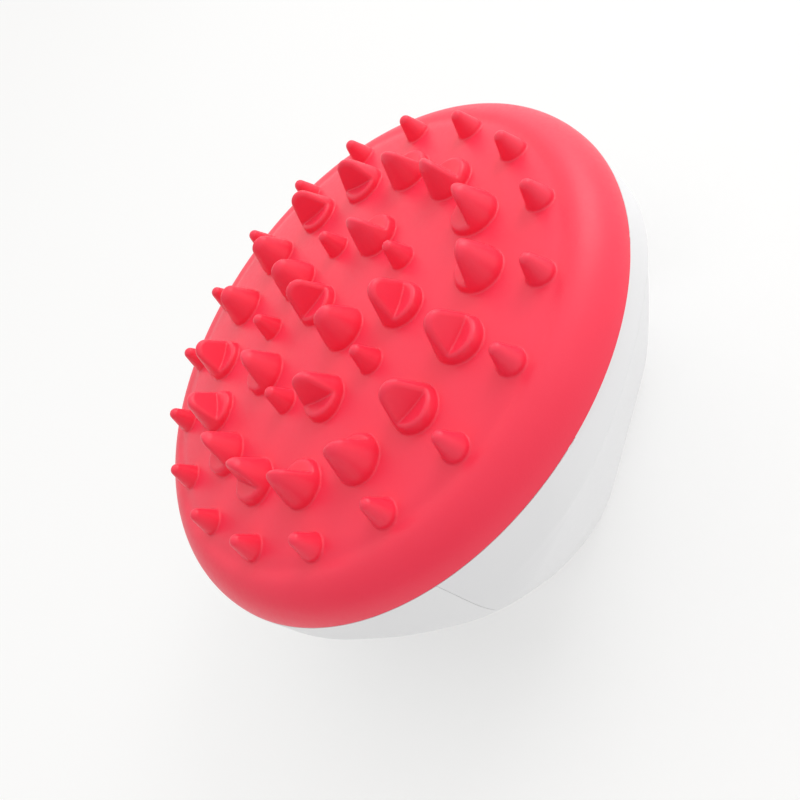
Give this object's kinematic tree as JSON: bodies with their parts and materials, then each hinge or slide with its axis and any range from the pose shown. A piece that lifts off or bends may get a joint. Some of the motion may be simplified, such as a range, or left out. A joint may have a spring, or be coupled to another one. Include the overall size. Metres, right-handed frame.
{
  "type": "scalp massager brush",
  "caption": "Round hand-held silicone body and scalp massage brush with soft cone bristles and a white arch handle.",
  "frame": {"origin": "middle of the flat crown of the handle, which the brush stands on with its bristles up; bottom centre of the bounding box", "axes": "+Z along the bristles, +X along the length of the handle arch, +Y through the hand slot"},
  "size_m": [0.13, 0.13, 0.0704],
  "materials": {
    "silicone": "satin coral-red silicone",
    "white_plastic": "fine satin white ABS",
    "cover_plastic": "fine satin white ABS",
    "carrier_plastic": "plain moulded plastic, hidden",
    "steel": "zinc-plated screw"
  },
  "bodies": {
    "root": {"silicone_pad": "silicone", "carrier_plate": "carrier_plastic", "base_shell": "white_plastic", "handle_cover": "cover_plastic", "plate_screw_1": "steel", "plate_screw_2": "steel", "plate_screw_3": "steel", "plate_screw_4": "steel"}
  },
  "joints": []
}
